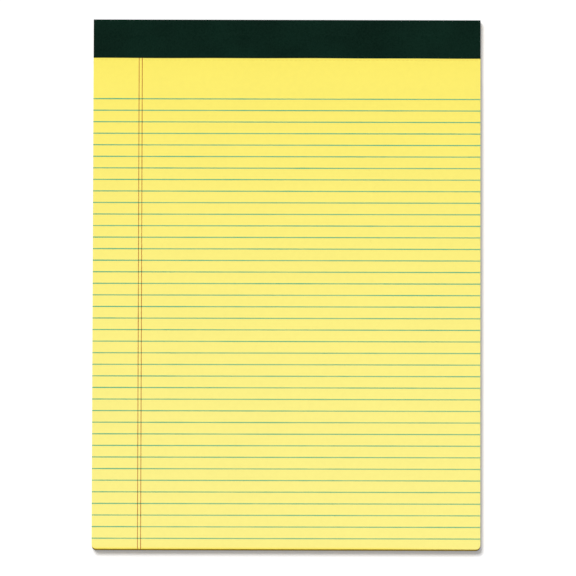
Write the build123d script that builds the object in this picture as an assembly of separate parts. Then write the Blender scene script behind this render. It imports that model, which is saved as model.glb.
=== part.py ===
from build123d import *
import os
from math import floor

# A ruled writing pad: gathered sheets on a chipboard back, wire stitched and taped at the head.
# The pad lies on its back. X runs across the page, +Y points to the taped head and +Z out of
# the written side. The origin is the middle of the back face. Lengths are in millimetres.

# Whole pad
pad_width = 215.9
pad_length = 298.45
tail_corner_radius = 2.5

# Sheets: loose at the tail, nipped together by the stitches at the head
sheet_count = 50
sheet_thickness = 0.1
head_nip = 0.4
nip_beyond_tape = 4.0
nip_rise_length = 17.0

# Backing board
board_thickness = 1.2

# Binding tape, folded round the head
tape_thickness = 0.2
tape_front = 21.8
tape_back = 20.0
tape_fold_radius = 0.6
tape_end_clearance = 0.3

# Stitches of flat wire under the tape
stitch_count = 4
wire_width = 0.85
wire_thickness = 0.5
stitch_crown = 12.7
stitch_inset = 9.0
stitch_inner_bend = 0.4
clinch_gap = 3.0
wire_clearance = 0.05

# Perforation, a row of slits just below the tape
slit_length = 1.5
slit_tie = 0.9
slit_width = 0.1
perforation_below_tape = 1.2

# Print on the top sheet
ink_film = 0.02
rule_width = 0.6
rule_pitch = 6.515
first_rule = 45.0
least_tail_space = 5.0
margin_line_width = 0.4
margin_left = 25.45
margin_line_spacing = 1.75

# Levels and edges that the pieces share
tail = -pad_length / 2
head = pad_length / 2
sheet_head = head - tape_thickness
face_height = board_thickness + sheet_count * sheet_thickness
nip_height = face_height - head_nip
tape_front_edge = head - tape_front
tape_back_edge = head - tape_back
nip_end = tape_front_edge - nip_beyond_tape
rise_end = nip_end - nip_rise_length
perforation_line = tape_front_edge - perforation_below_tape


def across_page(side_view):
    """Carries a side view, drawn as length along the pad and height, across the whole width."""
    return extrude(Plane.YZ * side_view, amount=pad_width / 2, both=True)


def round_tail_corners(slab):
    """Rounds the two upright tail corners, which are knifed off the gathered pad."""
    upright_edges = slab.edges().filter_by(Axis.Z)
    return fillet(upright_edges.group_by(Axis.Y)[0], tail_corner_radius)


def written_face(lift):
    """The written face in side view, raised by lift: level at the nip, an easy rise, then level."""
    rise_middle = ((nip_end + rise_end) / 2, (nip_height + face_height) / 2 + lift)
    lower_bend = TangentArc((nip_end, nip_height + lift), rise_middle, tangent=(-1, 0))
    upper_bend = TangentArc(rise_middle, (rise_end, face_height + lift), tangent=lower_bend % 1)
    return [
        Line((sheet_head, nip_height + lift), (nip_end, nip_height + lift)),
        lower_bend,
        upper_bend,
        Line((rise_end, face_height + lift), (tail, face_height + lift)),
    ]


def layer_between(lower, upper):
    """The side view between two lines that both run from the head to the tail."""
    head_side = Line(lower[0] @ 0, upper[0] @ 0)
    tail_side = Line(lower[-1] @ 1, upper[-1] @ 1)
    return make_face([*lower, *upper, head_side, tail_side])


def bent_strip(inside, outside):
    """The side view of a strip of constant thickness between its two bent faces."""
    ends = [Line(inside @ end, outside @ end) for end in (0, 1)]
    return make_face([*inside.edges(), *outside.edges(), *ends])


# Where the stitches run: the crown lies flush with the nipped face, the clinched ends with the
# board's back under the tape
stitch_line = sheet_head - stitch_inset
stitch_spots = GridLocations(pad_width / stitch_count, 0, stitch_count, 1)


def wire_face(inset, bend_radius, tip):
    """One face of a bent stitch, inset from its outer face: clinch, leg, crown, leg, clinch."""
    side = stitch_crown / 2 - inset
    low = tape_thickness + inset
    high = nip_height - inset
    return FilletPolyline(
        (-tip, low), (-side, low), (-side, high), (side, high), (side, low), (tip, low), radius=bend_radius
    )


def stitches(grow):
    """The stitches in their places. Grown all round, they are the beds that they press."""
    tip = clinch_gap / 2 - grow
    inside = wire_face(wire_thickness + grow, stitch_inner_bend - grow, tip)
    outside = wire_face(-grow, stitch_inner_bend + wire_thickness + grow, tip)
    wire = extrude(Plane.XZ * bent_strip(inside, outside), amount=wire_width / 2 + grow, both=True)
    return [Pos(0, stitch_line, 0) * spot * wire for spot in stitch_spots]


stitch_beds = stitches(wire_clearance)

# Perforation slits, cut through every sheet
slit_pitch = slit_length + slit_tie
slit_run = floor((pad_width - slit_tie) / slit_pitch)
slit_outline = Rectangle(slit_length, slit_width)
slits = [
    extrude(Pos(0, perforation_line, board_thickness) * spot * slit_outline, amount=face_height)
    for spot in GridLocations(slit_pitch, 0, slit_run, 1)
]

# Sheets
block_foot = [Line((sheet_head, board_thickness), (tail, board_thickness))]
sheet_block = round_tail_corners(across_page(layer_between(block_foot, written_face(0))))
head_edges = sheet_block.edges().filter_by(Axis.X).group_by(Axis.Y)[-1]
sheet_block = fillet(head_edges.sort_by(Axis.Z)[-1], tape_fold_radius)
sheet_block -= stitch_beds
sheet_block -= slits

# Backing board, pressed in by the tape's thickness where the tape lies on its back
press_end = tape_back_edge - tape_end_clearance
board_view = make_face(
    Polyline(
        (tail, 0),
        (press_end, 0),
        (press_end, tape_thickness),
        (sheet_head, tape_thickness),
        (sheet_head, board_thickness),
        (tail, board_thickness),
        close=True,
    )
)
backing_board = round_tail_corners(across_page(board_view))
head_edges = backing_board.edges().filter_by(Axis.X).group_by(Axis.Y)[-1]
backing_board = fillet(head_edges.sort_by(Axis.Z)[0], tape_fold_radius)
backing_board -= stitch_beds

# Binding tape: one strip with a constant thickness, folded over both head edges
tape_inside = FilletPolyline(
    (tape_front_edge, nip_height),
    (sheet_head, nip_height),
    (sheet_head, tape_thickness),
    (tape_back_edge, tape_thickness),
    radius=tape_fold_radius,
)
tape_outside = FilletPolyline(
    (tape_front_edge, nip_height + tape_thickness),
    (head, nip_height + tape_thickness),
    (head, 0),
    (tape_back_edge, 0),
    radius=tape_fold_radius + tape_thickness,
)
binding_tape = across_page(bent_strip(tape_inside, tape_outside))

# Wire stitches
wire_stitches = stitches(0)

# Printed rules: strips of one film of ink that follows the written face
rule_space = pad_length - first_rule - least_tail_space
rule_count = floor(rule_space / rule_pitch) + 1
rule_film = across_page(layer_between(written_face(0), written_face(ink_film)))
rule_lines = [head - first_rule - row * rule_pitch for row in range(rule_count)]
rule_bar = Box(pad_width, rule_width, 2 * face_height)
ruled_lines = [rule_film & (Pos(0, line, face_height) * rule_bar) for line in rule_lines]

# Printed margin lines: they start at the tape, and the second ink lies over the rules
margin_film = across_page(layer_between(written_face(0), written_face(2 * ink_film)))
margin_length = tape_front_edge - tail
margin_middle = (tape_front_edge + tail) / 2
margin_bar = Box(margin_line_width, margin_length, 2 * face_height)
margin_lines = []
for offset in (0, margin_line_spacing):
    across = margin_left + offset - pad_width / 2
    line = margin_film & (Pos(across, margin_middle, face_height) * margin_bar)
    margin_lines += (line - ruled_lines - slits).solids()

# One file for each node
os.makedirs("parts", exist_ok=True)
export_step(sheet_block, "parts/sheet_block.step")
export_step(backing_board, "parts/backing_board.step")
export_step(binding_tape, "parts/binding_tape.step")
export_step(Compound(wire_stitches), "parts/wire_stitches.step")
export_step(Compound(ruled_lines), "parts/ruled_lines.step")
export_step(Compound(margin_lines), "parts/margin_lines.step")
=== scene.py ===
# %% [markdown]
# # A ruled writing pad
# A writing pad is a stack of thin sheets on a stiff board. Wire stitches hold its head together, and a strip
# of dark green binding tape is folded over them. The exact solids come packed in a frame. They could be
# rendered as they are, but they are as sharp and even as a drawing. So this lesson works out, with numpy,
# the surfaces that the eye sees around them: loose paper, printed lines, embossed tape and raw board.

# %% Load the solids
import bpy
import numpy as np
from mathutils import Matrix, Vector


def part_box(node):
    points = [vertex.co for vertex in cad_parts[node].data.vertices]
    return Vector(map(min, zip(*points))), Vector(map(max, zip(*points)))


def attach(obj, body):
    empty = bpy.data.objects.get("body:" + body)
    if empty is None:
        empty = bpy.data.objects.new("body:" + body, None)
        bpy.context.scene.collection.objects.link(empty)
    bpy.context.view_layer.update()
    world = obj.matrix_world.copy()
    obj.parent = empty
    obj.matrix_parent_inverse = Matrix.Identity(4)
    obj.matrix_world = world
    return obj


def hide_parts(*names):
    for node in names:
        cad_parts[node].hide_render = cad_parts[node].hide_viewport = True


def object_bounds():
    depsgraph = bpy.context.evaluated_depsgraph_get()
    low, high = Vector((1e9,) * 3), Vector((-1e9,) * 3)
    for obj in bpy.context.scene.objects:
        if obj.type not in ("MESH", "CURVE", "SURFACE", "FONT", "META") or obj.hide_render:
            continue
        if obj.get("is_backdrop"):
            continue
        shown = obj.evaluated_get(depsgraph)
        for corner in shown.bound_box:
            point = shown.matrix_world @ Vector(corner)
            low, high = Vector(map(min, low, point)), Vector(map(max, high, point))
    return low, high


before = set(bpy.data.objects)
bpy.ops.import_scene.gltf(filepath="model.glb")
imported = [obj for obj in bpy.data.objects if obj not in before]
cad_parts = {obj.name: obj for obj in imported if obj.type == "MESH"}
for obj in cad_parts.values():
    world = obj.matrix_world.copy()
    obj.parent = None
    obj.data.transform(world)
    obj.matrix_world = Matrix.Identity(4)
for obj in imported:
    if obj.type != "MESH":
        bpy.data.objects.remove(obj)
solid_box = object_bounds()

mm = 0.001
print("solids:", ", ".join(sorted(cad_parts)))

# %% [markdown]
# ## Measures
# A maker measures a pad before drawing it. Here the solids are the pad, and a box round each one gives its
# outer sizes. The sizes could be typed in again, but then the two models might drift apart. So only what a
# box can't tell is written down, such as the radius of the tail corners and the number of sheets.

# %% Read the measures
sheets_low, sheets_high = np.array(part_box("sheet_block"))
tape_low, tape_high = np.array(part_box("binding_tape"))
half_width = sheets_high[0]
tail, sheet_head = sheets_low[1], sheets_high[1]
board_top, face_top = sheets_low[2], sheets_high[2]
tape_edge, head, tape_top = tape_low[1], tape_high[1], tape_high[2]
tape_thickness = head - sheet_head
nip_top = tape_top - tape_thickness

corner_radius = 2.5 * mm
fold_inside = 0.6 * mm
sheet_count = 50
sheet_thickness = (face_top - board_top) / sheet_count
print("pad", np.round(np.array([2 * half_width, head - tail, face_top]) / mm, 2), "mm")
print("sheets of", round(sheet_thickness / mm, 3), "mm under tape of", round(tape_thickness / mm, 3), "mm")

# %% [markdown]
# ## The outline of a page
# A guillotine cuts the pad square, and its two tail corners are rounded. A plane with bevelled corners has
# that outline, but no rows that could bend. So a page is a grid with two parameters: rows down the page,
# which crowd together round the corners, and shares of the half width across it, from -1 to 1.

# %% Rows and columns of a page
corner_start = tail + corner_radius
corner_steps = 9


def stretches(places, steps):
    """Places evenly spaced from each given place to the next, with no place twice."""
    runs = [np.linspace(here, there, count)[1:] for here, there, count in zip(places, places[1:], steps)]
    return np.concatenate([places[:1], *runs])


def page_plan(body, shares, steps=corner_steps, inset=0.0):
    """x and y of a grid. Round a corner, y falls by an angle's sine and the half width by its cosine."""
    radius = corner_radius - inset
    angle = np.concatenate([np.zeros(len(body) - 1), np.linspace(0.0, np.pi / 2, steps)])
    rows = np.concatenate([body[:-1], np.full(steps, corner_start)]) - radius * np.sin(angle)
    half = half_width - corner_radius + radius * np.cos(angle)
    return half[:, None] * shares, np.repeat(rows[:, None], len(shares), axis=1)


plain_x, plain_y = page_plan(stretches((head, corner_start), (2,)), np.array([-1.0, 1.0]))
print("outline of", plain_x.size, "points,", round(np.ptp(plain_y) / mm, 2), "mm long")

# %% [markdown]
# ## The height of a page
# The stitches nip the sheets, so a page rises in a soft S from the tape to its full height. Loose paper has
# slow waves of a few hundredths of a millimetre as well, and its tail corners lift. A cloth simulation could
# find such waves, but a formula is the same in each run, and the print that lies on the page can use it too.

# %% Nip and rise
nip_end = tape_edge - 4.0 * mm
rise_end = nip_end - 17.0 * mm


def eased(t):
    """Smooth step: 3t^2 - 2t^3, with t held between 0 and 1."""
    t = np.clip(t, 0.0, 1.0)
    return t * t * (3.0 - 2.0 * t)


def page_height(y):
    """Height of the nip, plus the whole rise times a smooth step along it."""
    return nip_top + (face_top - nip_top) * eased((nip_end - y) / (nip_end - rise_end))


print("rise of", round((face_top - nip_top) / mm, 2), "mm over", round((nip_end - rise_end) / mm, 1), "mm")

# %% Waves and lifted corners
wave_height, wave_fade = 0.028 * mm, 60.0 * mm
wave_strength = np.array([1.0, 0.7, 0.5])
wave_across = np.array([5.1, 2.2, 7.3])
wave_along = np.array([3.0, 9.0, -6.0])
wave_start = np.array([0.0, 1.0, 0.0])
curl_height, curl_reach = 0.14 * mm, 34.0 * mm
curl_middle, curl_right, curl_left = 0.25, 0.45, 0.3
right_start, left_start = 0.2, 0.4


def page_waves(x, y):
    """Sum of three sines of the places across and along the page, fading out at the rise."""
    across = x[..., None] / half_width
    along = (y[..., None] - tail) / (head - tail)
    sines = wave_strength * np.sin(wave_across * across + wave_along * along + wave_start)
    return wave_height * sines.sum(axis=-1) * eased((rise_end - y) / wave_fade)


def tail_curl(x, y):
    """Squared share of the way into the tail's reach, times a lift that grows to both sides."""
    into = np.clip((tail + curl_reach - y) / curl_reach, 0.0, 1.0)
    to_right = eased((x / half_width - right_start) / (1.0 - right_start))
    to_left = eased((-x / half_width - left_start) / (1.0 - left_start))
    return curl_height * into**2 * (curl_middle + curl_right * to_right + curl_left * to_left)


def top_face(x, y):
    """Height of the written face: the page, its waves and its lifted tail."""
    return page_height(y) + page_waves(x, y) + tail_curl(x, y)


print("right tail corner lifts", round(tail_curl(half_width, tail) / mm, 3), "mm")

# %% [markdown]
# ## A mesh from arrays
# A mesh is a list of points and a list of faces that name their corners. `from_pydata` takes both as Python
# lists. `foreach_set` copies whole arrays instead, which stays quick with a hundred thousand points. Every
# face is shaded smooth, and an edge is sharp only where its two faces meet at more than a given angle.

# %% Points and quads
def new_piece(name, points, quads, sharp_degrees=40):
    """Puts points and quads into a mesh object at the origin, smooth but for its sharp edges."""
    mesh = bpy.data.meshes.new(name)
    mesh.vertices.add(len(points))
    mesh.vertices.foreach_set("co", points.astype(np.float32).ravel())
    mesh.loops.add(quads.size)
    mesh.loops.foreach_set("vertex_index", quads.astype(np.int32).ravel())
    mesh.polygons.add(len(quads))
    mesh.polygons.foreach_set("loop_start", np.arange(0, quads.size, 4, dtype=np.int32))
    mesh.polygons.foreach_set("use_smooth", np.ones(len(quads), dtype=bool))
    mesh.update(calc_edges=True)
    mesh.set_sharp_from_angle(angle=np.radians(sharp_degrees))
    piece = bpy.data.objects.new(name, mesh)
    bpy.context.scene.collection.objects.link(piece)
    print(name, len(points), "points", len(quads), "quads")
    return piece


def grid_quads(index):
    """The four corners of every cell of a grid of indices, row by row."""
    corners = [index[:-1, :-1], index[1:, :-1], index[1:, 1:], index[:-1, 1:]]
    return np.stack(corners, axis=-1).reshape(-1, 4)


print("first cell of a grid of 3 by 4 points:", grid_quads(np.arange(12).reshape(3, 4))[0])

# %% [markdown]
# ## Closed shells
# A sheet, a stack, a strip of tape and a board are one kind of shape: an upper and a lower face on the same
# grid, with a rim between their edges. A Solidify modifier gives a plane such a body, but only a plain wall.
# Here the rim can have rows of its own, such as a bevel or the edges of many sheets, and a cell of the grid
# can be left open. The mesh still comes out closed, with its faces outwards.

# %% Two faces and a rim
def ring_of(rows, columns):
    """Indices round a grid's edge: down the first column, along the last row, up, and back."""
    index = np.arange(rows * columns).reshape(rows, columns)
    return np.concatenate([index[:-1, 0], index[-1, :-1], index[:0:-1, -1], index[0, :0:-1]])


def closed_slab(name, upper, lower, rim=None, holes=None, sharp_degrees=40):
    """Quads of both faces, of a wall through the rim's rows from the lower edge up, and round each hole."""
    rows, columns = upper.shape[:2]
    top = np.arange(rows * columns).reshape(rows, columns)
    under = top + top.size
    ring = ring_of(rows, columns)
    if rim is None:
        rim = np.empty((0, len(ring), 3))
    if holes is None:
        holes = np.zeros((rows - 1, columns - 1), dtype=bool)

    between = 2 * top.size + np.arange(rim.size // 3).reshape(rim.shape[:2])
    levels = np.concatenate([under.ravel()[ring][None], between, top.ravel()[ring][None]])
    wall = np.concatenate([levels, levels[:, :1]], axis=1).T

    is_open = holes.ravel()
    corners = grid_quads(top)[is_open]
    ahead = np.roll(corners, -1, axis=1)
    hole_walls = np.stack([corners, ahead, ahead + top.size, corners + top.size], axis=-1).reshape(-1, 4)
    faces = [grid_quads(top)[~is_open], grid_quads(under)[~is_open][:, ::-1]]
    points = [part.reshape(-1, 3) for part in (upper, lower, rim)]
    quads = [*faces, grid_quads(wall), hole_walls]
    return new_piece(name, np.concatenate(points), np.concatenate(quads), sharp_degrees)


print("edge of a grid of 3 by 4 points:", ring_of(3, 4))

# %% [markdown]
# ## The top sheet
# The top sheet is a tenth of a millimetre thick. Just below the tape a toothed blade has cut a row of slits,
# where it tears off. Booleans could cut them, but they leave long thin faces that shade badly. Instead the
# grid has a column at each end of every slit and a row at each side, so that a slit is one open cell.

# %% Places of the slits
slit_length, slit_tie, slit_width = 1.5 * mm, 0.9 * mm, 0.1 * mm
slit_line = tape_edge - 1.2 * mm
slit_pitch = slit_length + slit_tie
slit_count = int((2 * half_width - slit_tie) / slit_pitch)
slit_middles = (np.arange(slit_count) - (slit_count - 1) / 2) * slit_pitch
slit_ends = (slit_middles[:, None] + np.array([-0.5, 0.5]) * slit_length).ravel()
print(slit_count, "slits, the first", round((slit_ends[0] + half_width) / mm, 2), "mm from the side")

# %% Top sheet
slit_sides = (slit_line + slit_width / 2, slit_line - slit_width / 2)
sheet_places = (sheet_head - fold_inside, *slit_sides, nip_end, rise_end, corner_start)
sheet_steps = (6, 2, 2, 14, 46)
slit_row = sheet_steps[0] - 1
sheet_shares = np.concatenate([[-half_width], slit_ends, [half_width]]) / half_width

sheet_x, sheet_y = page_plan(stretches(sheet_places, sheet_steps), sheet_shares)
sheet_upper = np.stack([sheet_x, sheet_y, top_face(sheet_x, sheet_y)], axis=-1)
sheet_lower = sheet_upper - np.array([0.0, 0.0, sheet_thickness])
open_cells = np.zeros((sheet_x.shape[0] - 1, sheet_x.shape[1] - 1), dtype=bool)
open_cells[slit_row, 1::2] = True
top_sheet = closed_slab("top_sheet", sheet_upper, sheet_lower, holes=open_cells)

# %% [markdown]
# ## The stack below
# The other sheets could be forty-nine meshes, but only their edges ever show. So they are one shell, and its
# rim is folded once for every sheet: each edge bulges a little, and a fine dark gap parts it from the next.
# The guillotine trims them together, so they stand out of line by a few hundredths of a millimetre only.
# Seeded random numbers keep every run the same.

# %% Faces of the stack
stack_count = sheet_count - 1
edge_scatter, jog_scatter = 0.022 * mm, 0.03 * mm
stack_inset = 2 * edge_scatter + jog_scatter
below_face = 1.1 * sheet_thickness


def stack_ceiling(x, y):
    """Top of the stack: the page and its waves, a little more than one sheet lower, without the curl."""
    return page_height(y) + page_waves(x, y) - below_face


stack_columns = 41
stack_shares = np.linspace(-1.0, 1.0, stack_columns)
stack_body = stretches((sheet_head, nip_end, rise_end, corner_start), (6, 10, 34))
stack_x, stack_y = page_plan(stack_body, stack_shares, inset=stack_inset)
stack_upper = np.stack([stack_x, stack_y, stack_ceiling(stack_x, stack_y)], axis=-1)
stack_upper[0, :, 1] -= fold_inside
stack_lower = np.stack([stack_x, stack_y, np.full_like(stack_x, board_top)], axis=-1)
print("stack of", stack_count, "sheets,", round((stack_upper[..., 2].max() - board_top) / mm, 2), "mm high")

# %% Where each edge lies
dice = np.random.default_rng(11)
jog = np.cumsum(dice.normal(0.0, 1.0, stack_count))
jog = jog_scatter * (jog - jog.mean()) / jog.std()
edge_place = jog + edge_scatter * dice.normal(0.0, 1.0, stack_count)
sway_start = dice.uniform(0, 2 * np.pi, (stack_count, 1))
print("edges lie within", round(np.ptp(edge_place) / mm, 2), "mm of each other")

# %% Rim of the stack
touch = 0.01 * mm
sway_count = 3
gap_depth = 0.07 * mm
edge_levels = np.array([0.0, 0.16, 0.5, 0.84])
edge_depths = gap_depth * np.array([1.0, 0.12, 0.0, 0.12])


def outward(ring):
    """Unit vectors square to a closed ring, from the chord between each point's neighbours."""
    chord = np.roll(ring, -1, axis=0) - np.roll(ring, 1, axis=0)
    side = np.stack([chord[:, 1], -chord[:, 0]], axis=-1)
    return side / np.linalg.norm(side, axis=1, keepdims=True)


outer_x, outer_y = page_plan(stack_body, stack_shares)
outer_top = np.stack([outer_x, outer_y, stack_ceiling(outer_x, outer_y)], axis=-1)
stack_ring = outer_top.reshape(-1, 3)[ring_of(*outer_x.shape)]
ring_turn = np.linspace(0.0, 2 * np.pi, len(stack_ring), endpoint=False)
sway = edge_scatter * np.sin(sway_count * ring_turn + sway_start)
edge_inset = (edge_place[:, None] + sway - stack_inset).clip(max=0.0)
offset = np.repeat(edge_inset, len(edge_levels), axis=0) - np.tile(edge_depths, stack_count)[:, None]
level = (np.arange(stack_count)[:, None] + edge_levels).ravel() / stack_count

stack_rim = np.empty((len(level), len(stack_ring), 3))
stack_rim[..., :2] = stack_ring[:, :2] + offset[..., None] * outward(stack_ring[:, :2])
stack_rim[..., 2] = board_top + level[:, None] * (stack_ring[:, 2] - board_top)
into_fold = np.clip((stack_rim[..., 2] - nip_top + fold_inside) / fold_inside, 0.0, 1.0)
at_head = stack_ring[:, 1] > sheet_head - touch
stack_rim[..., 1] -= np.where(at_head, fold_inside * (1.0 - np.sqrt(1.0 - into_fold**2)), 0.0)
sheet_stack = closed_slab("sheet_stack", stack_upper, stack_lower, rim=stack_rim[1:], sharp_degrees=75)

# %% [markdown]
# ## A map for the edges
# When a finish is baked into a picture for other programs, a map says how many dots each face gets. The rim
# is a metre long and five millimetres high, so a map that Blender unwraps by itself spends nearly all its
# dots on the hidden faces. This one cuts the rim into strips, lays them above each other, and leaves the two
# faces one strip to share.

# %% Strips of the rim
strip_room, side_room = 0.05, 0.01


def rim_map(ring, level_count, strips):
    """u: length round the ring from the strip's start. v: the strip's number, plus a share for the level."""
    arc = np.concatenate([[0.0], np.cumsum(np.linalg.norm(np.roll(ring, -1, axis=0) - ring, axis=1))])
    starts = np.searchsorted(arc, np.linspace(0.0, arc[-1], strips, endpoint=False))
    strip = np.searchsorted(starts, np.arange(len(ring)), side="right") - 1
    along = np.stack([arc[:-1], arc[1:]], axis=-1) - arc[starts][strip][:, None]
    level = np.linspace(strip_room, 1.0 - strip_room, level_count)
    corner_levels = np.stack([level[:-1], level[:-1], level[1:], level[1:]], axis=-1)
    share = (along / along.max())[:, None, [0, 1, 1, 0]]
    u, v = np.broadcast_arrays(share, strip[:, None, None] + corner_levels)
    return np.stack([u, v], axis=-1).reshape(-1, 2)


def face_map(upper, lower, strips):
    """Each face's plan, squeezed into half of the strip that follows the rim's."""
    size = np.array([2 * half_width, head - tail])
    faces = []
    for side, (grid, turn) in enumerate([(upper, 1), (lower, -1)]):
        corners = grid_quads(np.arange(grid.size // 3).reshape(grid.shape[:2]))[:, ::turn]
        across, along = (grid.reshape(-1, 3)[corners.ravel(), :2] / size + 0.5).T
        v = strips + strip_room + (1.0 - 2 * strip_room) * along
        faces.append(np.stack([(across + side) / 2, v], axis=-1))
    return np.concatenate(faces)


strip_count = 8
stack_map = np.concatenate([
    face_map(stack_upper, stack_lower, strip_count),
    rim_map(stack_ring[:, :2], len(stack_rim) + 1, strip_count),
])
stack_map = stack_map * [1.0 - 2 * side_room, 1.0 / (strip_count + 1)] + [side_room, 0.0]
stack_layer = sheet_stack.data.uv_layers.new(name="OFBake")
stack_layer.data.foreach_set("uv", stack_map.astype(np.float32).ravel())
print(strip_count, "strips of rim in a map of", len(stack_map), "corners")

# %% [markdown]
# ## Printed lines
# A ruling machine prints the lines of each sheet. Print has no body, so the paper's own finish could draw
# it, but a line finer than a dot of a baked map blurs away. So each line is a flat ribbon of ink that follows
# the page, a fiftieth of a millimetre proud. Its edges swell and thin a little, as wet ink does on paper.

# %% Ribbons of ink
ink_lift = 0.02 * mm
swell_steps, swell_share = 6, 0.05


def ink_ribbons(name, centre, across, half, lift):
    """A rectangle carried along each line of centres: half widths across, lifts up and down, capped."""
    lines, steps = centre.shape[:2]
    sides = np.array([-1.0, 1.0, 1.0, -1.0])
    points = centre[:, :, None, :] + (half[..., None] * sides)[..., None] * np.array(across)
    points[..., 2] += lift * np.array([1.0, 1.0, -1.0, -1.0])
    index = np.arange(lines * steps * 4).reshape(lines, steps, 4)
    around = np.concatenate([index, index[:, :, :1]], axis=2)
    walls = np.stack([around[:, :-1, :-1], around[:, 1:, :-1], around[:, 1:, 1:], around[:, :-1, 1:]], -1)
    caps = np.concatenate([index[:, 0], index[:, -1, ::-1]])
    return new_piece(name, points.reshape(-1, 3), np.concatenate([walls.reshape(-1, 4), caps]))


def swollen(lines, steps):
    """Widths near 1: the mean of a few random numbers in a window that slides along each line."""
    rough = dice.normal(0.0, 1.0, (lines, steps + swell_steps))
    windows = np.lib.stride_tricks.sliding_window_view(rough, swell_steps, axis=1)[:, :steps]
    return 1.0 + swell_share * windows.mean(axis=-1) * np.sqrt(swell_steps)


print("ink stands", round(ink_lift / mm, 3), "mm proud")

# %% Ruled lines
rules_low, rules_high = np.array(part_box("ruled_lines"))
rule_count, rule_half = 39, 0.3 * mm
rule_first, rule_last = rules_high[1] - rule_half, rules_low[1] + rule_half
rule_pitch = (rule_first - rule_last) / (rule_count - 1)
rule_steps = 145
rule_places = np.linspace(rule_first, rule_last, rule_count)
rule_x, rule_y = np.meshgrid(np.linspace(-half_width, half_width, rule_steps), rule_places)
rule_centre = np.stack([rule_x, rule_y, top_face(rule_x, rule_y)], axis=-1)
ruled_ink = ink_ribbons("ruled_ink", rule_centre, (0, 1, 0), rule_half * swollen(*rule_x.shape), ink_lift)
print(rule_count, "rules,", round(rule_pitch / mm, 3), "mm apart")

# %% Margin lines
margin_low, margin_high = np.array(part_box("margin_lines"))
margin_half = 0.2 * mm
margin_pair = np.array([margin_low[0] + margin_half, margin_high[0] - margin_half])
margin_steps = stretches((tape_edge, rise_end, tail), (30, 150))
margin_x, margin_y = np.meshgrid(margin_pair, margin_steps, indexing="ij")
margin_centre = np.stack([margin_x, margin_y, top_face(margin_x, margin_y)], axis=-1)
margin_width = margin_half * swollen(*margin_x.shape)
margin_ink = ink_ribbons("margin_ink", margin_centre, (1, 0, 0), margin_width, 2 * ink_lift)
print("margin lines", round(np.ptp(margin_pair) / mm, 2), "mm apart")

# %% [markdown]
# ## The binding tape
# The tape is one strip of coated paper: the front flap, a tight fold over the head, the spine, a fold under,
# and the back flap. A bevelled box would have the folds, but no thickness and no cut edges. So the strip is a
# profile carried across the pad. The stitches' crowns underneath press faint ridges up through the front
# flap, and the cut edge wanders by a few hundredths of a millimetre.

# %% Path of the tape
stitch_low, stitch_high = np.array(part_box("wire_stitches"))
stitch_line = (stitch_low[1] + stitch_high[1]) / 2
stitch_band = 2.0 * mm
fold_radius = fold_inside + tape_thickness
tape_back_edge = head - 20.0 * mm

fold_turn = np.linspace(0.0, np.pi / 2, 9)[1:-1]
flap_y = np.unique(np.concatenate([
    np.linspace(tape_edge, head - fold_radius, 34),
    np.linspace(stitch_line - stitch_band, stitch_line + stitch_band, 13),
]))
spine_z = np.linspace(tape_top - fold_radius, fold_radius, 14)
back_y = np.linspace(head - fold_radius, tape_back_edge, 24)
flap_steps, fold_steps, spine_steps, back_steps = len(flap_y), len(fold_turn), len(spine_z), len(back_y)

path_steps = [flap_steps, fold_steps, spine_steps, fold_steps, back_steps]
path_turn = np.repeat([0.0, 0.0, np.pi / 2, np.pi / 2, np.pi], path_steps)
path_turn[flap_steps:flap_steps + fold_steps] += fold_turn
path_turn[-back_steps - fold_steps:-back_steps] += fold_turn
core_y = np.concatenate([flap_y, np.full(2 * fold_steps + spine_steps, head - fold_radius), back_y])
core_z = np.concatenate([
    np.full(flap_steps + fold_steps, tape_top - fold_radius),
    spine_z,
    np.full(fold_steps + back_steps, fold_radius),
])
path_normal = np.stack([np.zeros_like(path_turn), np.sin(path_turn), np.cos(path_turn)], axis=-1)
path = np.stack([np.zeros_like(core_y), core_y, core_z], axis=-1) + fold_radius * path_normal
path_length = np.linalg.norm(np.diff(path, axis=0), axis=1).sum()
print("tape cut", round(path_length / mm, 1), "mm wide")

# %% Folded tape
stitch_count, stitch_half = 4, 6.35 * mm
stitch_x = (np.arange(stitch_count) - (stitch_count - 1) / 2) * 2 * half_width / stitch_count
ridge_height, ridge_reach = 0.1 * mm, 0.75 * mm
wander, wander_fade = 0.04 * mm, 3.0 * mm
wander_lengths, wander_start = np.array([9.0, 23.0]) * mm, np.array([0.0, 1.0])


def crown_ridges(x, y):
    """A bell of the distance to each crown: the height times e^-(d/reach)^2, added up."""
    beyond = np.clip(np.abs(x[..., None] - stitch_x) - stitch_half, 0.0, None)
    away = np.hypot(beyond, (y - stitch_line)[..., None])
    return ridge_height * np.exp(-((away / ridge_reach) ** 2)).sum(axis=-1)


tape_columns = 301
tape_x, tape_y = np.meshgrid(np.linspace(half_width, -half_width, tape_columns), path[:, 1])
on_flap = (path_turn == 0.0)[:, None]
edge_wander = wander * np.sin(tape_x[..., None] / wander_lengths + wander_start).sum(axis=-1)
near_edge = np.where(on_flap, eased(1.0 - (tape_y - tape_edge) / wander_fade), 0.0)
tape_y = tape_y + near_edge * edge_wander
tape_flat = np.stack([tape_x, tape_y, np.broadcast_to(path[:, 2:], tape_x.shape)], axis=-1)
tape_inner = tape_flat - tape_thickness * path_normal[:, None, :]
tape_outer = tape_flat.copy()
tape_outer[..., 2] += np.where(on_flap, crown_ridges(tape_x, path[:, 1:2]), 0.0)
folded_tape = closed_slab("folded_tape", tape_outer, tape_inner, sharp_degrees=50)

# %% [markdown]
# ## The backing board
# The board is a slab of grey chipboard with the pages' outline. The knife leaves its edges square, but their
# corners crush a little. A Bevel modifier would round them all alike, but at the head the lower corner has
# the larger radius of the tape's fold. So the rim has a quarter circle of rows at each face. The head is
# pressed in by the thickness of the tape, which then lies flush with the back.

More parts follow.
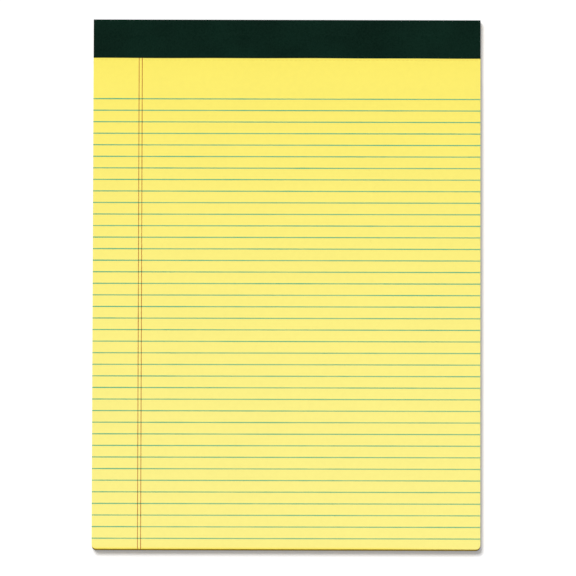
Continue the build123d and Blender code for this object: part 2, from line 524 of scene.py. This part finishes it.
# %% Faces of the board
board_low, board_high = np.array(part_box("backing_board"))
board_bevel = 0.14 * mm
press_end = tape_back_edge - 0.3 * mm
press_slope = 0.05 * mm
board_corner_steps, board_columns = 11, 33
board_shares = np.linspace(-1.0, 1.0, board_columns)
board_body = stretches((board_high[1], press_end + press_slope, press_end, corner_start), (5, 2, 26))

board_x, board_y = page_plan(board_body, board_shares, board_corner_steps)
inner_x, inner_y = page_plan(board_body, board_shares, board_corner_steps, board_bevel)
board_under = np.where(board_y > press_end, tape_thickness, board_low[2])
board_upper = np.stack([inner_x, inner_y, np.full_like(inner_x, board_high[2])], axis=-1)
board_lower = np.stack([inner_x, inner_y, board_under], axis=-1)
board_upper[0, :, 1] -= board_bevel
board_lower[0, :, 1] -= fold_inside
print("board", round((board_high[2] - board_low[2]) / mm, 2), "mm thick")

# %% Crushed edges of the board
board_ring = np.stack([board_x, board_y, board_under], axis=-1).reshape(-1, 3)[ring_of(*board_x.shape)]
low_radius = np.where(board_ring[:, 1] > board_high[1] - touch, fold_inside, board_bevel)
high_radius = np.full_like(low_radius, board_bevel)
bevel_turn = np.linspace(0.0, np.pi / 2, 6)[1:, None]
rim_turn = np.concatenate([bevel_turn, bevel_turn[::-1]])
rim_radius = np.repeat([low_radius, high_radius], len(bevel_turn), axis=0)
rim_base = np.repeat([board_ring[:, 2], np.full_like(low_radius, board_high[2])], len(bevel_turn), axis=0)
rim_up = np.repeat([1.0, -1.0], len(bevel_turn))[:, None]

rim_inset = rim_radius * (1.0 - np.sin(rim_turn))
board_rim = np.empty((*rim_radius.shape, 3))
board_rim[..., :2] = board_ring[:, :2] - rim_inset[..., None] * outward(board_ring[:, :2])
board_rim[..., 2] = rim_base + rim_up * rim_radius * (1.0 - np.cos(rim_turn))
chipboard_back = closed_slab("chipboard_back", board_upper, board_lower, rim=board_rim, sharp_degrees=50)

# %% [markdown]
# ## Materials
# A finish could be a scanned picture, but a scan brings one light and one size with it. Every finish here is
# a small tree of nodes instead. It reads Object coordinates, which are metres, so that a pattern keeps its
# real scale on any piece. A few helpers keep the trees short, and each is named for what its node does.

# %% Nodes and sockets
def set_sockets(tree, node, sockets):
    """Sets each socket to a number or a colour, or links it to another node's output."""
    for key, value in sockets.items():
        if isinstance(value, bpy.types.NodeSocket):
            tree.links.new(value, node.inputs[key])
        else:
            node.inputs[key].default_value = value


def add_node(tree, kind, sockets, **settings):
    """Adds a shader node, first its settings and then its sockets."""
    node = tree.nodes.new("ShaderNode" + kind)
    for name, value in settings.items():
        setattr(node, name, value)
    set_sockets(tree, node, sockets)
    return node


shader_kinds = [name for name in dir(bpy.types) if name.startswith("ShaderNode")]
print(len(shader_kinds), "kinds of shader node to choose from")

# %% Finishes and colours
def new_finish(name):
    """A new material, its tree, and the tree's Object coordinates."""
    finish = bpy.data.materials.new(name)
    finish.use_nodes = True
    return finish, finish.node_tree, add_node(finish.node_tree, "TexCoord", {}).outputs["Object"]


def finished(finish, sockets):
    """Sets the sockets of a material's shader, and says how many nodes the finish took."""
    tree = finish.node_tree
    set_sockets(tree, tree.nodes["Principled BSDF"], sockets)
    print(finish.name, "takes", len(tree.nodes), "nodes")
    return finish


def sight(red, green, blue):
    """A colour as a screen shows it, 0 to 255, turned into linear light."""
    seen = np.array([red, green, blue]) / 255.0
    linear = np.where(seen <= 0.04045, seen / 12.92, ((seen + 0.055) / 1.055) ** 2.4)
    return (*linear.tolist(), 1.0)


print("half grey on a screen is", round(sight(128, 128, 128)[0], 3), "of white's light")

# %% Sums and ranges
def maths(tree, operation, *values):
    """One Math node on up to three values."""
    return add_node(tree, "Math", dict(enumerate(values)), operation=operation).outputs[0]


def weighted(tree, *parts):
    """Sum of values times their weights."""
    total = 0.0
    for value, weight in parts:
        total = maths(tree, "MULTIPLY_ADD", value, weight, total)
    return total


def ranged(tree, value, old, new=(0.0, 1.0)):
    """Maps a value from an old range to a new one, held at both ends."""
    return add_node(tree, "MapRange", {"Value": value, 1: old[0], 2: old[1], 3: new[0], 4: new[1]}).outputs[0]


def axes(tree, place):
    """x, y and z of the coordinates, as three numbers."""
    return add_node(tree, "SeparateXYZ", {0: place}).outputs[:3]


operations = bpy.types.ShaderNodeMath.bl_rna.properties["operation"].enum_items
print("a Math node knows", len(operations), "operations")

# %% Patterns and mixes
noise_span = (0.3, 0.7)  # most of a noise lies between these


def stretched(tree, place, size):
    """Coordinates divided by a pattern's size in metres, one for all axes or one for each."""
    return add_node(tree, "Mapping", {"Vector": place, "Scale": 1.0 / np.broadcast_to(size, 3)}).outputs[0]


def noise(tree, place, size, detail=3.0, rough=0.55, twist=0.0):
    """Cloudy noise with features of about the given size, bent by a twist."""
    sockets = {"Vector": stretched(tree, place, size), "Scale": 1.0, "Detail": detail, "Roughness": rough}
    return add_node(tree, "TexNoise", {**sockets, "Distortion": twist}).outputs[0]


def cells(tree, place, size, sockets, feature):
    """Random cells of about the given size: the distance to a cell's middle, and a colour for each."""
    sockets = {"Vector": stretched(tree, place, size), "Scale": 1.0, **sockets}
    return add_node(tree, "TexVoronoi", sockets, feature=feature)


def blended(tree, share, first, second, how="MIX"):
    """Two colours mixed, or multiplied, by a share."""
    return add_node(tree, "Mix", {0: share, 6: first, 7: second}, data_type="RGBA", blend_type=how).outputs[2]


def bumped(tree, height, depth, strength):
    """A normal from a height of 0 to 1 that stands for a depth in metres."""
    return add_node(tree, "Bump", {"Height": height, "Distance": depth, "Strength": strength}).outputs[0]


blend_types = bpy.types.ShaderNodeMix.bl_rna.properties["blend_type"].enum_items
print("a Mix node knows", len(blend_types), "ways to blend two colours")

# %% [markdown]
# ## Canary paper
# Cheap ruled paper is dyed in the pulp, so its colour is even, with faint clouds where fibres bunch and a
# fine tooth that keeps it matt. This pad is a stronger yellow at the head and paler towards the tail. Its
# last millimetre is painted a deeper yellow for the light that comes up through the cut edges, less so at the
# right.
# One flat colour would look like plastic, so noise at three scales varies it: tooth, clouds and a slow drift.

# %% Canary paper
# The rim yellow is painted light: a deeper yellow for the light that comes up through the cut edges of the
# tail.
canary_head, canary_tail, painted_rim_light = sight(255, 238, 104), sight(255, 243, 137), sight(255, 232, 90)
rim_reach, rim_full, rim_end = 1.2 * mm, half_width / 2, half_width
tooth_size, cloud_size, drift_size = 0.22 * mm, 3 * mm, (40 * mm, 55 * mm, 40 * mm)
tooth_depth = 0.02 * mm


def canary_face():
    """Colour from head to tail by t(2 - t), and a painted deeper yellow for light through the cut edges,
    by a slope at the tail's rim.

    It is multiplied by the light of clouds and drift. The tooth sets gloss and bump.
    """
    finish, tree, place = new_finish("dyed_canary")
    x, y, _ = axes(tree, place)
    t = ranged(tree, y, (tape_edge, tail))
    paler = maths(tree, "MULTIPLY", t, maths(tree, "SUBTRACT", 2.0, t))
    dyed = blended(tree, paler, canary_head, canary_tail)
    # Painted light: from here the colour turns a deeper yellow in the tail's last millimetre, less so at the
    # right, for light through the cut edges.
    at_tail = ranged(tree, y, (tail + rim_reach, tail))
    deeper = maths(tree, "MULTIPLY", at_tail, ranged(tree, x, (rim_end, rim_full)))
    dyed = blended(tree, deeper, dyed, painted_rim_light)
    cloud = ranged(tree, noise(tree, place, cloud_size, detail=4.0), noise_span, (0.984, 1.008))
    drift = ranged(tree, noise(tree, place, drift_size, detail=1.0), noise_span, (-0.006, 0.006))
    light = maths(tree, "ADD", cloud, drift)
    grey = add_node(tree, "CombineColor", {0: light, 1: light, 2: light}).outputs[0]
    tooth = noise(tree, place, tooth_size, rough=0.65)
    return finished(finish, {
        "Base Color": blended(tree, 1.0, dyed, grey, "MULTIPLY"),
        "Roughness": ranged(tree, tooth, noise_span, (0.78, 0.92)),
        "Specular IOR Level": 0.15,
        "Normal": bumped(tree, tooth, tooth_depth, 0.5),
    })


canary_paper = canary_face()

# %% [markdown]
# ## The cut edges
# Each sheet's edge takes the light a little differently, so the stack's side has fine level streaks. The
# rules run off both sides of every sheet and the margin lines off the tail, so their ink shows there as faint
# upright marks. Ribbons on every sheet would be thousands of faces for marks that are hardly seen. So the
# finish works out how far a point lies from a printed line, and darkens it there.

# %% Distance to the printed lines
def line_mask(tree, distance, half, soft):
    """1 within half a line's width, easing to 0 over a soft edge."""
    return ranged(tree, distance, (half - soft, half + soft), (1.0, 0.0))


def on_rules(tree, y, half, soft):
    """Mask of the distance to the nearest whole pitch, counted from the last rule up to the first."""
    pitches = maths(tree, "DIVIDE", maths(tree, "SUBTRACT", y, rule_last), rule_pitch)
    distance = maths(tree, "MULTIPLY", maths(tree, "PINGPONG", pitches, 0.5), rule_pitch)
    ruled = maths(tree, "LESS_THAN", y, rule_first + rule_pitch / 2)
    return maths(tree, "MULTIPLY", line_mask(tree, distance, half, soft), ruled)


def on_margin(tree, x, half, soft):
    """Mask of the distance from the pair's middle, less half of the pair's spacing."""
    from_middle = maths(tree, "ABSOLUTE", maths(tree, "SUBTRACT", x, margin_pair.mean()))
    from_line = maths(tree, "ABSOLUTE", maths(tree, "SUBTRACT", from_middle, np.ptp(margin_pair) / 2))
    return line_mask(tree, from_line, half, soft)


print("margin lines lie", round((margin_pair.mean() + half_width) / mm, 2), "mm in from the side")

# %% Edges of the sheets
# Both edge yellows are deeper and darker than the paper: painted shade for the gaps between the sheets and
# for light bounced between their edges. The streaks between the two are painted light and shade.
shaded_edge_yellow, edge_shade = sight(250, 218, 70), sight(232, 188, 38)
rule_trace, margin_trace = sight(64, 150, 112), sight(176, 92, 44)
streak_size, broken_size = (25 * mm, 25 * mm, 0.16 * mm), (0.8 * mm, 0.8 * mm, 0.12 * mm)
trace_half, trace_soft = 0.25 * mm, 0.15 * mm
edge_depth = 0.03 * mm


def cut_edges():
    """Two yellows of painted shade mixed by streaks of painted light, with ink where a line leaves the
    sheets, broken by noise.
    """
    finish, tree, place = new_finish("cut_sheet_edges")
    x, y, _ = axes(tree, place)
    streak = noise(tree, place, streak_size, detail=4.0, rough=0.7)
    broken = noise(tree, place, broken_size, detail=2.0)
    weak = ranged(tree, broken, (0.35, 0.65), (0.1, 0.6))
    mixed_colour = blended(tree, ranged(tree, streak, (0.36, 0.64)), shaded_edge_yellow, edge_shade)
    ruled = maths(tree, "MULTIPLY", on_rules(tree, y, trace_half, trace_soft), weak)
    mixed_colour = blended(tree, ruled, mixed_colour, rule_trace)
    edged = maths(tree, "MULTIPLY", on_margin(tree, x, trace_half, trace_soft), weak)
    mixed_colour = blended(tree, edged, mixed_colour, margin_trace)
    return finished(finish, {
        "Base Color": mixed_colour,
        "Roughness": ranged(tree, streak, noise_span, (0.8, 0.95)),
        "Specular IOR Level": 0.1,
        "Normal": bumped(tree, broken, edge_depth, 0.6),
    })


trimmed_paper = cut_edges()

# %% [markdown]
# ## Inks
# Ruling ink is thin, so its strength comes and goes and the paper shows through. The rules are fullest at
# the left, one is stronger than the next, and they grow weaker towards the tail, while the margin lines
# stay even. Blue-green ink over yellow looks green, and the red margin ink looks brown. Where the two
# cross, both dyes take their share of the light, so the margin ink is multiplied by the rules' there.
# Transparent ribbons would do the same, but a baked map can't look through one face to the next.

# %% Printed inks
rule_dye, margin_dye = sight(6, 168, 130), sight(180, 96, 26)
rule_run, margin_run = (70 * mm, 4 * mm, 4 * mm), (4 * mm, 70 * mm, 4 * mm)
rule_bare, margin_bare = (0.1, 0.07, 0.12, 0.08), (0.0, 0.0, 0.06, 0.08)
ink_tooth_size = 0.3 * mm
run_span, tooth_span = (0.38, 0.62), (0.5, 0.75)
full_side, even_side = -half_width, -half_width / 2


def printed_ink(name, dye, run, weights, crosses_rules=False):
    """Paper's share: weights times a slope to the tail, one from the left, noise along the run, and tooth."""
    finish, tree, place = new_finish(name)
    x, y, _ = axes(tree, place)
    tooth = noise(tree, place, ink_tooth_size, detail=2.0)
    parts = (
        ranged(tree, y, (tape_edge, tail)),
        ranged(tree, x, (full_side, even_side)),
        ranged(tree, noise(tree, place, run, detail=2.0), run_span),
        ranged(tree, tooth, tooth_span),
    )
    mixed_colour = blended(tree, weighted(tree, *zip(parts, weights)), dye, canary_tail)
    if crosses_rules:
        mixed_colour = blended(tree, on_rules(tree, y, rule_half, rule_half / 3), mixed_colour, rule_dye, "MULTIPLY")
    return finished(finish, {
        "Base Color": mixed_colour,
        "Roughness": ranged(tree, tooth, noise_span, (0.6, 0.85)),
        "Specular IOR Level": 0.15,
    })


rule_print = printed_ink("rule_print", rule_dye, rule_run, rule_bare)
margin_print = printed_ink("margin_print", margin_dye, margin_run, margin_bare, crosses_rules=True)

# %% [markdown]
# ## Green binding tape
# Binding tape is coated paper, dyed through and pressed between rollers with a small pebble grain like
# leather. Displaced geometry would need millions of faces for it, so the grain is a bump: random cells of
# about half a millimetre with soft valleys. The coating has a low, broad sheen, its dye is a little cloudy,
# and the fold at the head is rubbed paler.

# %% Binding tape finish
tape_dark, tape_light, tape_rubbed = sight(3, 26, 17), sight(9, 39, 28), sight(34, 62, 50)
pebble_size, grit_size, patch_size = 0.62 * mm, 0.16 * mm, 2.5 * mm
tape_cloud_size = (26 * mm, 18 * mm, 18 * mm)
grain_depth = 0.03 * mm
rub_reach, rub_soft = 0.25 * mm, 0.1 * mm


def pressed_tape():
    """Pebbles from the distance to a cell's middle, plus grit. Paler where y and z both reach the fold."""
    finish, tree, place = new_finish("pressed_green_tape")
    _, y, z = axes(tree, place)
    from_middle = cells(tree, place, pebble_size, {"Smoothness": 0.6}, "SMOOTH_F1").outputs["Distance"]
    pebble = ranged(tree, from_middle, (0.15, 0.75), (1.0, 0.0))
    height = weighted(tree, (pebble, 1.0), (noise(tree, place, grit_size), 0.35))
    tone = weighted(tree, (pebble, 0.3), (noise(tree, place, tape_cloud_size, detail=4.0), 0.7))
    dyed = blended(tree, ranged(tree, tone, (0.25, 0.72)), tape_dark, tape_light)
    below_head = maths(tree, "SUBTRACT", head - rub_reach, y)
    below_top = maths(tree, "SUBTRACT", tape_top - rub_reach, z)
    on_fold = line_mask(tree, maths(tree, "MAXIMUM", below_head, below_top), 0.0, rub_soft)
    patchy = ranged(tree, noise(tree, place, patch_size, detail=2.0), (0.42, 0.62), (0.0, 0.5))
    return finished(finish, {
        "Base Color": blended(tree, maths(tree, "MULTIPLY", on_fold, patchy), dyed, tape_rubbed),
        "Roughness": ranged(tree, height, (0.2, 1.2), (0.72, 0.52)),
        "Specular IOR Level": 0.03,
        "Normal": bumped(tree, height, grain_depth, 0.6),
    })


pressed_green = pressed_tape()

# %% [markdown]
# ## Raw chipboard
# Chipboard is pressed from waste paper: grey-brown, with fibres that lie every way, pale flakes and dark
# specks. Noise that is only stretched looks woven, so the fibres are twisted as well. The specks are random
# cells, of which a few are picked by their own random colour. Its face is dull and slightly pitted.

# %% Chipboard finish
board_dark, board_light = sight(143, 132, 111), sight(178, 167, 145)
speck_dye, flake_dye = sight(74, 66, 54), sight(205, 195, 172)
pulp_size, speck_size = (9 * mm, 9 * mm, 0.4 * mm), (1.7 * mm, 1.7 * mm, 0.8 * mm)
fibre_size, cross_size = (0.5 * mm, 1.8 * mm, 0.25 * mm), (1.4 * mm, 0.6 * mm, 0.25 * mm)
pit_depth = 0.06 * mm


def raw_board():
    """Half long fibres, a third cross fibres and the rest pulp, with dark and pale specks mixed in."""
    finish, tree, place = new_finish("raw_chipboard")
    pulp = noise(tree, place, pulp_size, detail=2.0)
    fibre = noise(tree, place, fibre_size, detail=4.0, rough=0.65, twist=1.6)
    cross = noise(tree, place, cross_size, detail=4.0, rough=0.65, twist=2.2)
    tone = weighted(tree, (fibre, 0.5), (cross, 0.35), (pulp, 0.15))
    board = blended(tree, ranged(tree, tone, (0.36, 0.64)), board_dark, board_light)
    specks = cells(tree, place, speck_size, {}, "F1").outputs
    small = ranged(tree, specks["Distance"], (0.08, 0.16), (1.0, 0.0))
    chance = add_node(tree, "SeparateColor", {0: specks["Color"]}).outputs
    for pick, least, dye, share in ((chance[0], 0.72, speck_dye, 0.7), (chance[1], 0.8, flake_dye, 0.6)):
        picked = maths(tree, "MULTIPLY", small, maths(tree, "GREATER_THAN", pick, least))
        board = blended(tree, maths(tree, "MULTIPLY", picked, share), board, dye)
    return finished(finish, {
        "Base Color": board,
        "Roughness": ranged(tree, fibre, noise_span, (0.82, 0.97)),
        "Specular IOR Level": 0.15,
        "Normal": bumped(tree, tone, pit_depth, 0.7),
    })


raw_chipboard = raw_board()

# %% [markdown]
# ## Stitching wire
# The stitches are galvanised wire, drawn through a die. They could be swept again along a path, but their
# solids already have the exact bends, and the tape hides them. So the solids stay as they are and only get
# a metal: zinc grey, with fine scratches along the wire.

# %% Stitching wire finish
zinc_dark, zinc_light = sight(150, 152, 155), sight(196, 198, 200)
scratch_size, scratch_depth = (2.0 * mm, 0.05 * mm, 0.05 * mm), 0.01 * mm


def drawn_wire():
    """Two greys mixed by noise that is stretched along x, which also sets the gloss and the bump."""
    finish, tree, place = new_finish("galvanised_wire")
    scratch = noise(tree, place, scratch_size)
    return finished(finish, {
        "Base Color": blended(tree, scratch, zinc_dark, zinc_light),
        "Metallic": 1.0,
        "Roughness": ranged(tree, scratch, noise_span, (0.28, 0.5)),
        "Normal": bumped(tree, scratch, scratch_depth, 0.4),
    })


galvanised_wire = drawn_wire()

# %% [markdown]
# ## Dress the pad
# Each piece gets its finish, rides on the pad's one body, and hides the solid it stands for. A piece could
# be dressed where it is made, but one list shows the whole pad at a glance. The top sheet stands for none:
# it and the stack together are the solid block of sheets, which the stack already replaces.

# %% Finishes, bodies and slots
pieces = [
    (sheet_stack, trimmed_paper, "sheet_block", "canary_paper"),
    (top_sheet, canary_paper, None, "canary_paper"),
    (ruled_ink, rule_print, "ruled_lines", "rule_ink"),
    (margin_ink, margin_print, "margin_lines", "margin_ink"),
    (folded_tape, pressed_green, "binding_tape", "green_binding"),
    (chipboard_back, raw_chipboard, "backing_board", "chipboard"),
]
for piece, finish, node, slot in pieces:
    piece.data.materials.append(finish)
    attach(piece, "root")
    if node:
        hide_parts(node)
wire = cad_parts["wire_stitches"]
wire.data.materials.clear()
wire.data.materials.append(galvanised_wire)
print("pieces:", ", ".join(piece.name for piece, *_ in pieces))

# %% [markdown]
# ## Table
# The pad lies on a white table. A floor that is pale enough to look white would throw too much light up at
# the cut edges. So it is white to the camera and to reflections, and grey to the light that bounces off it.
# It still takes the pad's shadow. It lies a hair below the back, so that the two faces don't fight.

# %% White table
table_reach, table_drop = 20.0, 0.05 * mm
table_white, table_grey = (0.9, 0.9, 0.9, 1.0), (0.52, 0.52, 0.52, 1.0)
table_glow = 0.2


def white_table():
    """Matt. White with a small glow to camera, glossy and transmitted rays, and grey to all others."""
    finish, tree, _ = new_finish("white_table")
    path = add_node(tree, "LightPath", {}).outputs
    mirrored = maths(tree, "MAXIMUM", path["Is Glossy Ray"], path["Is Transmission Ray"])
    seen = maths(tree, "MAXIMUM", path["Is Camera Ray"], mirrored)
    return finished(finish, {
        "Base Color": blended(tree, seen, table_grey, table_white),
        "Roughness": 1.0,
        "Specular IOR Level": 0.0,
        "Emission Color": (1.0, 1.0, 1.0, 1.0),
        "Emission Strength": maths(tree, "MULTIPLY", seen, table_glow),
    })


table_square = np.array([(-1.0, -1.0, 0.0), (1.0, -1.0, 0.0), (1.0, 1.0, 0.0), (-1.0, 1.0, 0.0)])
table = new_piece("table", table_square * table_reach - [0.0, 0.0, table_drop], np.array([[0, 1, 2, 3]]))
table.data.materials.append(white_table())
table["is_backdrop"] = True

# %% [markdown]
# ## Light
# A product picture is lit by a large softbox and white walls. An area lamp is a softbox too, but its light
# falls off over the page, so a sun lamp with a wide angle stands for it. It leans a little from the head and
# the left, which puts a short soft shadow at the tail and the right. An even sky fills the rest. Together
# they light the page at about 1, so that a colour renders as it is written.

# %% Softbox and sky
sky_level, key_level = 0.25, 0.82
sky_tint = (0.98, 1.0, 1.07, 1.0)
lean_head, lean_left = np.radians(21.5), np.radians(13.2)
key_softness = np.radians(22.0)

sky = bpy.data.worlds.new("soft_sky")
sky.use_nodes = True
set_sockets(sky.node_tree, sky.node_tree.nodes["Background"], {"Color": sky_tint, "Strength": sky_level})
bpy.context.scene.world = sky

key_light = bpy.data.lights.new("softbox", "SUN")
key_light.energy = key_level * np.pi
key_light.angle = key_softness
key = bpy.data.objects.new("softbox", key_light)
key.rotation_euler = (-lean_head, -lean_left, 0.0)
bpy.context.scene.collection.objects.link(key)
page_light = sky_level + key_level * np.cos(lean_head) * np.cos(lean_left)
print("light on the page about", round(page_light, 2))

# %% [markdown]
# ## Camera
# In the picture the pad's sides stay almost parallel, so the camera is far away, with a long lens. An
# orthographic camera would make them quite parallel, which is a little too much. It stands about 9 degrees
# off square towards the tail, which shows a thin line of the tail's edge. Its frame is worked out from how
# many metres of the page a pixel covers.

# %% Long lens
picture_side, sensor_side = 576, 36.0
lean_tail, lean_side, roll = np.radians(8.896), np.radians(-0.041), np.radians(0.128)
eye_distance, view_end = 9.095, 100.0
metres_per_pixel = 0.55678 * mm
aim = np.array([0.814 * mm, -2.430 * mm, face_top])

eye_place = aim + eye_distance * np.array([np.sin(lean_side), -np.sin(lean_tail), np.cos(lean_tail)])
ahead = (aim - eye_place) / np.linalg.norm(aim - eye_place)
level_right = np.cross(ahead, [0.0, 1.0, 0.0])
level_right /= np.linalg.norm(level_right)
level_up = np.cross(level_right, ahead)
right = np.cos(roll) * level_right + np.sin(roll) * level_up
up = np.cos(roll) * level_up - np.sin(roll) * level_right

long_lens = bpy.data.cameras.new("long_lens")
long_lens.sensor_width = sensor_side
long_lens.lens = sensor_side * eye_distance / (metres_per_pixel * picture_side)
long_lens.clip_end = view_end
camera = bpy.data.objects.new("long_lens", long_lens)
camera_turn = np.eye(4)
camera_turn[:3] = np.stack([right, up, -ahead, eye_place], axis=-1)
camera.matrix_world = Matrix(camera_turn.tolist())
bpy.context.scene.collection.objects.link(camera)
bpy.context.scene.camera = camera
bpy.context.scene.view_settings.view_transform = "Standard"
print("lens of", round(long_lens.lens), "mm, eye", np.round(eye_place, 2))

# %% [markdown] ## Both sizes The dressed pad has to keep the size of its solids. A ruler in the
# viewport would show it once, but a print shows it after each run, so both boxes are printed.

# %% Sizes and finish
dressed_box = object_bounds()
solid_size, dressed_size = np.ptp(solid_box, axis=0) / mm, np.ptp(dressed_box, axis=0) / mm
print("solids", np.round(solid_size, 2), "dressed", np.round(dressed_size, 2), "mm")
